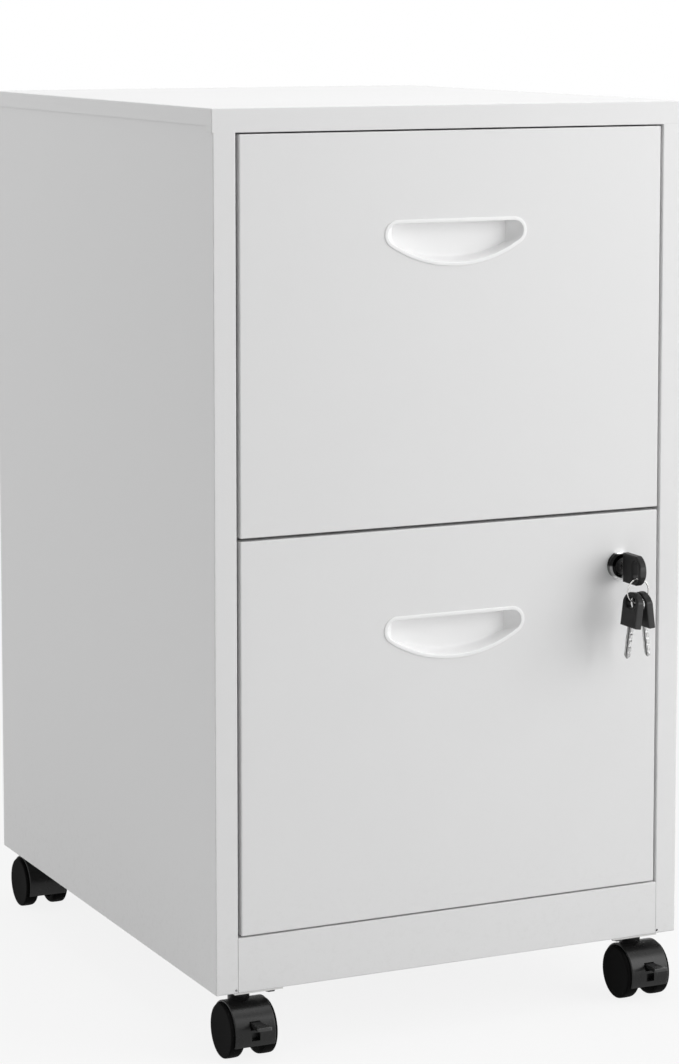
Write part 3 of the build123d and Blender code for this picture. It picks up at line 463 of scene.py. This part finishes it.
def finish_of(node):
    """The material of a node's slot. A finish that reads the node's own box is made for each node."""
    slot = node_slot[node]
    if slot == "white_enamel":
        return enamel(node)
    if slot == "pull_plastic":
        return pull_plastic(node)
    if slot == "lock_chrome":
        return collar_painted_reflections(node)
    if slot == "key_plastic":
        return black_plastic(f"key_plastic_{node}", front=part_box(node)[0].y, **KEY_BLACK)
    if node.endswith("brake_lever"):
        return black_plastic(f"lever_plastic_{node}", front=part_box(node)[0].y, **CASTER_BLACK)
    if node.endswith("spare_key_blade"):
        return key_blade(node)
    return finishes[slot]


node_finish = {node: finish_of(node) for node in sorted(frame["nodes"])}
for node, piece in frame["nodes"].items():
    piece.data.materials.clear()
    piece.data.materials.append(node_finish[node])
print(len(set(node_finish.values())), "finishes")


# %% [markdown]
# ## Smooth surfaces from arrays
#
# A moulded piece is easiest to write down as a formula: where is the point that lies so far round it
# and so far along it? numpy answers for all the points at once, as a grid of rows and columns, and
# one helper turns any such grid into a mesh.

# %% From a grid of points to a piece
SHARP_ANGLE = radians(40)
SAME_POINT = 0.001 * MM


def dress(name, grid, node):
    """Makes one piece from a grid of points and puts it in place of a CAD node.

    A grid has rows, columns and xyz. Each face joins a point to its neighbours in the next column and
    the next row, found by shifting an array of point numbers, and the last column meets the first."""
    number = np.arange(grid.shape[0] * grid.shape[1]).reshape(grid.shape[:2])
    beside = np.roll(number, -1, axis=1)
    faces = np.stack((number[:-1], beside[:-1], beside[1:], number[1:]), axis=-1)
    mesh = bpy.data.meshes.new(name)
    mesh.from_pydata(grid.reshape(-1, 3).tolist(), [], faces.reshape(-1, 4).tolist())
    shaped = bmesh.new()
    shaped.from_mesh(mesh)
    bmesh.ops.remove_doubles(shaped, verts=shaped.verts, dist=SAME_POINT)
    bmesh.ops.recalc_face_normals(shaped, faces=shaped.faces)
    shaped.to_mesh(mesh)
    shaped.free()
    mesh.shade_smooth()
    mesh.set_sharp_from_angle(angle=SHARP_ANGLE)
    mesh.materials.append(node_finish[node])
    piece = bpy.data.objects.new(name, mesh)
    bpy.context.scene.collection.objects.link(piece)
    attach(piece, node_body[node])
    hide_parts(node)
    print(name, len(mesh.polygons), "faces")


# %% [markdown]
# ## Finger pulls
#
# Each drawer is opened by a white cup sunk into its front, shaped like a smile: flat above, round at
# the ends and one wide arc below. On the real cabinet it is one plastic moulding that snaps into a
# hole in the sheet. The light on it comes from the way its floor scoops up into the flat back while
# its ends meet that back at a crisp upright corner. So the cup is a surface: the outline goes round
# it, and the second parameter runs from the middle of its hidden outside, over the rim, down the wall
# and across the back.

# %% The smile
SMILE_POINTS = (36, 16, 72, 16)
top_share, end_share, arc_share, other_share = (np.arange(count) / count for count in SMILE_POINTS)


def smile(half_width, top, bottom, radius):
    """Points round a smile, as columns of x and z.

    The round ends have their centres one radius in and one radius below the top. The wide arc below
    touches the bottom and both ends, so its radius follows from the run between the end's centre and
    the middle, and from the height. It meets an end on the line through both arcs' centres."""
    run, height = half_width - radius, top - bottom
    wide = (run**2 + height**2 - 2 * height * radius) / (2 * (height - 2 * radius))
    meet = np.arctan2(top - radius - bottom - wide, run)
    end = pi / 2 + (meet - pi / 2) * end_share
    arc = meet - (pi + 2 * meet) * arc_share
    other = -pi - meet + (meet - pi / 2) * other_share
    x = (
        run * (2 * top_share - 1),
        run + radius * np.cos(end),
        wide * np.cos(arc),
        radius * np.cos(other) - run,
    )
    z = (
        top + 0 * top_share,
        top - radius + radius * np.sin(end),
        bottom + wide + wide * np.sin(arc),
        top - radius + radius * np.sin(other),
    )
    return np.stack([np.concatenate(x), np.concatenate(z)], axis=-1)


def flat_back(half_width, top, bottom, side):
    """Points round the cup's back, as columns of x and z: upright ends as long as the side, and an arc.

    The arc goes through the feet of both ends and the bottom. Its radius is half the chord squared
    plus the sag squared, over twice the sag."""
    sag = top - side - bottom
    wide = (half_width**2 + sag**2) / (2 * sag)
    meet = np.arctan2(sag - wide, half_width)
    arc = meet - (pi + 2 * meet) * arc_share
    x = (
        half_width * (2 * top_share - 1),
        half_width + 0 * end_share,
        wide * np.cos(arc),
        0 * other_share - half_width,
    )
    z = (
        top + 0 * top_share,
        top - side * end_share,
        bottom + wide + wide * np.sin(arc),
        top - side + side * other_share,
    )
    return np.stack([np.concatenate(x), np.concatenate(z)], axis=-1)


print(sum(SMILE_POINTS), "points round a cup")


# %% The cup
PULL_RIM = 2.6 * MM
PULL_WALL = 1.3 * MM
PULL_END_RADIUS = 9.8 * MM
PULL_END_LEAN = 8.2 * MM
PULL_FLOOR_RISE = 4.0 * MM
PULL_ROOF_FALL = 1.0 * MM
PULL_BACK_SIDE = 14.8 * MM
RIM_OUTER_ROUND = 0.3 * MM
RIM_INNER_ROUND = 0.5 * MM
RIM_ROUND_ROWS = 5
SCOOP_RAMP = 0.16
WALL_ROWS = 14
OUTSIDE_SHARES = (1.0, 0.5, 0.0)
BACK_SHARES = (0.15, 0.35, 0.6, 0.8, 1.0)


def pull_cup(node, front_node):
    """The cup's surface as rows of its outline, from the outside of its back to the inside.

    The rim is flat between two quarter rounds. The wall goes from the rim's inner edge to the outline
    of the back: at the roof and the ends in a straight line, and along the floor on a quarter ellipse
    that leaves the rim level and arrives upright. The share of the ellipse ramps up at the arc's ends."""
    low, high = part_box(node)
    half, top, bottom = (high.x - low.x) / 2, high.z, low.z
    face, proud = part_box(front_node)[0].y, low.y

    def upright(outline, y):
        """An outline's columns of x and z, stood up at one depth."""
        return np.stack([outline[:, 0], np.full(len(outline), y), outline[:, 1]], axis=-1)

    def rim_row(inset, y):
        """The smile drawn in by an inset."""
        return upright(smile(half - inset, top - inset, bottom + inset, PULL_END_RADIUS - inset), y)

    def back_row(inset, y):
        """The outline of the back, drawn in by an inset."""
        reach = half - inset - PULL_END_LEAN
        roof, floor = top - inset - PULL_ROOF_FALL, bottom + inset + PULL_FLOOR_RISE
        return upright(flat_back(reach, roof, floor, PULL_BACK_SIDE), y)

    def shrink(edge, shares):
        """An edge drawn towards its middle by each share, where one is the middle itself."""
        centre = (edge.max(axis=0) + edge.min(axis=0)) / 2
        return [edge + share * (centre - edge) for share in shares]

    quarter = np.linspace(0, pi / 2, RIM_ROUND_ROWS)
    outside = back_row(PULL_RIM - PULL_WALL, high.y)
    rows = shrink(outside, OUTSIDE_SHARES) + [rim_row(PULL_RIM - PULL_WALL, face), rim_row(0.0, face)]
    outer, inner = RIM_OUTER_ROUND, RIM_INNER_ROUND
    rows += [rim_row(outer * (1 - cos(a)), proud + outer * (1 - sin(a))) for a in quarter]
    rows += [rim_row(PULL_RIM - inner * (1 - sin(a)), proud + inner * (1 - cos(a))) for a in quarter]
    start, back = rows[-1], back_row(PULL_RIM, high.y - PULL_WALL)
    ramp = np.clip(np.minimum(arc_share, 1 - arc_share) / SCOOP_RAMP, 0, 1)
    ends = np.zeros(SMILE_POINTS[0] + SMILE_POINTS[1]), np.zeros(SMILE_POINTS[3])
    scoop = np.concatenate([ends[0], ramp**2 * (3 - 2 * ramp), ends[1]])[:, None]
    for share in np.linspace(0, 1, WALL_ROWS + 1)[1:]:
        across = scoop * (1 - cos(share * pi / 2)) + (1 - scoop) * share
        inward = scoop * sin(share * pi / 2) + (1 - scoop) * share
        rows.append(start + (back - start) * np.concatenate([across, inward, across], axis=1))
    rows += shrink(back, BACK_SHARES)
    return np.stack(rows)


for level in ("upper", "lower"):
    dress(f"{level}_pull_cup", pull_cup(f"{level}_pull", f"{level}_drawer_front"), f"{level}_pull")


# %% [markdown]
# ## Caster wheels
#
# A wheel is turned about its axle, so it is one profile carried round a circle. The profile has what
# the CAD solid leaves plain: a tread with a slight crown, a disc that is dished by a hair, and a
# hollow inner side with a hub on the axle.

# %% The wheel's profile
WHEEL_BORE = 2.55 * MM
WHEEL_END_WALL = 1.5 * MM
TREAD_CROWN = 0.12 * MM
INNER_SHOULDER = 3.0 * MM
OUTER_EDGE = 1.1 * MM
DISC_DISH = 0.3 * MM
HUB_RADIUS = 5.0 * MM
HUB_TAPER = 0.4 * MM
HOLLOW_RADIUS = 14.0 * MM
HOLLOW_DEPTH = 4.0 * MM
SMALL_EDGE = 0.3 * MM
ROUND_POINTS = 8
TREAD_POINTS = 7
DISC_POINTS = 9


def wheel_profile(width, radius):
    """Distance along the axle from the inner side, and radius, for each point of the profile.

    It starts at the end of the blind bore, goes round the hub and the hollow, over the tread, whose
    crown is a parabola between two quarter rounds, and back to the middle of the outer disc."""
    turn = np.linspace(0, pi / 2, ROUND_POINTS)
    rim = radius - TREAD_CROWN
    across = np.linspace(INNER_SHOULDER, width - OUTER_EDGE, TREAD_POINTS)[1:-1]
    share = (across - INNER_SHOULDER) / (width - OUTER_EDGE - INNER_SHOULDER)
    disc = np.linspace(rim - OUTER_EDGE, 0, DISC_POINTS)[1:]
    inner_round = INNER_SHOULDER * np.sin(turn), INNER_SHOULDER * np.cos(turn)
    outer_round = OUTER_EDGE * np.sin(turn), OUTER_EDGE * np.cos(turn)
    hub = [
        (width - WHEEL_END_WALL, 0.0),
        (width - WHEEL_END_WALL, WHEEL_BORE),
        (SMALL_EDGE, WHEEL_BORE),
        (0.0, WHEEL_BORE + SMALL_EDGE),
        (0.0, HUB_RADIUS),
        (HOLLOW_DEPTH, HUB_RADIUS + HUB_TAPER),
        (HOLLOW_DEPTH, HOLLOW_RADIUS - HUB_TAPER),
        (SMALL_EDGE, HOLLOW_RADIUS),
        (0.0, HOLLOW_RADIUS + SMALL_EDGE),
    ]
    stretches = (
        (INNER_SHOULDER - inner_round[1], rim - INNER_SHOULDER + inner_round[0]),
        (across, rim + TREAD_CROWN * 4 * share * (1 - share)),
        (width - OUTER_EDGE + outer_round[0], rim - OUTER_EDGE + outer_round[1]),
        (width - DISC_DISH * (1 - (disc / rim) ** 2), disc),
    )
    return np.concatenate([hub] + [np.stack(stretch, axis=-1) for stretch in stretches])


# %% Eight wheels
WHEEL_COLUMNS = 96


def wheel(node, hood):
    """The profile carried round the axle, with its outer side away from the middle of the hood."""
    low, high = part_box(node)
    centre, hood_box = (low + high) / 2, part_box(hood)
    outward = 1.0 if centre.x > (hood_box[0].x + hood_box[1].x) / 2 else -1.0
    inner = low.x if outward > 0 else high.x
    profile = wheel_profile(high.x - low.x, (high.z - low.z) / 2)
    angle = 2 * pi * np.arange(WHEEL_COLUMNS) / WHEEL_COLUMNS
    along, radius = profile[:, :1], profile[:, 1:]
    x = inner + outward * along + 0 * angle
    return np.stack([x, centre.y + radius * np.cos(angle), centre.z + radius * np.sin(angle)], axis=-1)


for corner in ("front_left", "front_right", "rear_left", "rear_right"):
    for side in ("left", "right"):
        node = f"{corner}_caster_{side}_wheel"
        dress(f"{node}_turned", wheel(node, f"{corner}_caster_hood"), node)


# %% [markdown]
# ## Key ring
#
# The keys hang on one ring of springy wire. A ring is the simplest surface of two parameters: a small
# circle, the wire, carried round a large one.

# %% Ring
RING_COLUMNS = 120
RING_ROWS = 16


def wire_ring(node):
    """A torus standing in the plane across the front: the wire's circle carried round the ring's."""
    low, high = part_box(node)
    centre, wire = (low + high) / 2, (high.y - low.y) / 2
    mean = (high.x - low.x) / 2 - wire
    turn = 2 * pi * np.arange(RING_COLUMNS) / RING_COLUMNS
    around = 2 * pi * np.arange(RING_ROWS + 1)[:, None] / RING_ROWS
    reach = mean + wire * np.cos(around)
    x, z = centre.x + reach * np.cos(turn), centre.z + reach * np.sin(turn)
    return np.stack([x, centre.y + wire * np.sin(around) + 0 * turn, z], axis=-1)


dress("key_ring_wire", wire_ring("key_ring"), "key_ring")


# %% [markdown]
# ## A white studio
#
# The cabinet stands on a white floor that runs up to the horizon. Pure white can't come from more
# light, which would burn out the white enamel too. Instead the floor and the world glow white only
# for the rays that look at them, straight or by reflection, and the floor keeps a share of its own
# shading, so the cabinet still casts a shadow.

# %% Floor
FLOOR_HALF = 8.0
FLOOR_GREY = 0.6
SHADOW_SHARE = 0.14


def seen(wire):
    """One for a ray that shows a surface to the eye: from the camera, or by reflection or through glass."""
    rays = wire.node("ShaderNodeLightPath").socket.node.outputs
    camera, glossy, through = (
        Wire(wire.tree, rays[name]) for name in ("Is Camera Ray", "Is Glossy Ray", "Is Transmission Ray")
    )
    return camera | glossy | through


floor_mesh = bpy.data.meshes.new("floor")
floor_corners = [(x * FLOOR_HALF, y * FLOOR_HALF, 0.0) for x, y in ((-1, -1), (1, -1), (1, 1), (-1, 1))]
floor_mesh.from_pydata(floor_corners, [], [(0, 1, 2, 3)])
floor = bpy.data.objects.new("floor", floor_mesh)
bpy.context.scene.collection.objects.link(floor)
floor_finish = bpy.data.materials.new("white_floor")
floor_finish.use_nodes = True
floor_tree = floor_finish.node_tree
floor_tree.nodes.clear()
board = Wire(floor_tree)
matt = board.node("ShaderNodeBsdfDiffuse", inputs={"Color": grey(FLOOR_GREY)})
glow = board.node("ShaderNodeEmission", inputs={"Color": grey(1.0), "Strength": 1.0})
mixed = board.node("ShaderNodeMixShader", inputs={0: seen(board) * (1.0 - SHADOW_SHARE), 1: matt, 2: glow})
floor_out = floor_tree.nodes.new("ShaderNodeOutputMaterial")
floor_tree.links.new(mixed.socket, floor_out.inputs["Surface"])
floor_mesh.materials.append(floor_finish)
print("floor", 2 * FLOOR_HALF, "m wide")

# %% World
WORLD_LIGHT = 0.4
world = bpy.data.worlds.new("studio")
bpy.context.scene.world = world
world.use_nodes = True
world_tree = world.node_tree
world_board = Wire(world_tree)
world_light = WORLD_LIGHT + seen(world_board) * (1.0 - WORLD_LIGHT)
world_tree.links.new(world_light.socket, world_tree.nodes["Background"].inputs["Strength"])
world_tree.nodes["Background"].inputs["Color"].default_value = grey(1.0)
print("world at", WORLD_LIGHT, "for the light that falls on the cabinet")


# %% [markdown]
# ## Lamps
#
# White sheet metal is told apart by small steps of grey from face to face. Broad square lamps give
# each face its own even tone and soft shadows: one overhead, the main one in front on the right, and
# a weak one behind on the left. Light adds up, so their powers could be worked out from how bright
# each face is in the photograph.

# %% Three softboxes
cabinet_middle = (cad_box[0] + cad_box[1]) / 2


def softbox(name, place, size, power):
    """A square lamp at a place, turned to face the middle of the cabinet."""
    lamp = bpy.data.lights.new(name, "AREA")
    lamp.shape, lamp.size, lamp.energy = "SQUARE", size, power
    holder = bpy.data.objects.new(name, lamp)
    holder.location = place
    holder.rotation_euler = (cabinet_middle - Vector(place)).to_track_quat("-Z", "Y").to_euler()
    bpy.context.scene.collection.objects.link(holder)
    print(name, "lamp,", power, "W")


softbox("overhead", place=(0.2, -0.1, 2.6), size=2.0, power=22.4)
softbox("key", place=(1.6, -1.4, 1.1), size=1.8, power=32.6)
softbox("fill", place=(-1.9, 0.9, 1.4), size=1.6, power=10.4)

# %% [markdown]
# ## The camera
#
# The photograph was taken from the left, a little above the cabinet, through a long lens. The places
# below come from fitting the case's corners. The shift is kept small and the rest of the view's fall
# is a tilt, so that the other views stay centred. The sensor's width lies along the longer side of
# the picture, which is its height.

# %% Camera
FRAME_HEIGHT = 1064
FOCAL_PIXELS = 3205.3
SENSOR_WIDTH = 36.0
LENS_SHIFT = -0.19
CAMERA_PLACE = (-1.0109, -2.1512, 0.7242)
CAMERA_YAW, CAMERA_PITCH = 25.326, 5.974
camera_data = bpy.data.cameras.new("camera")
camera_data.sensor_width = SENSOR_WIDTH
camera_data.lens = SENSOR_WIDTH * FOCAL_PIXELS / FRAME_HEIGHT
camera_data.shift_y = LENS_SHIFT
camera = bpy.data.objects.new("camera", camera_data)
camera.location = CAMERA_PLACE
camera.rotation_euler = Euler((radians(90 - CAMERA_PITCH), 0.0, radians(-CAMERA_YAW)))
bpy.context.scene.collection.objects.link(camera)
bpy.context.scene.camera = camera
bpy.context.scene.view_settings.view_transform = "Standard"
print("lens", round(camera_data.lens, 1), "mm")
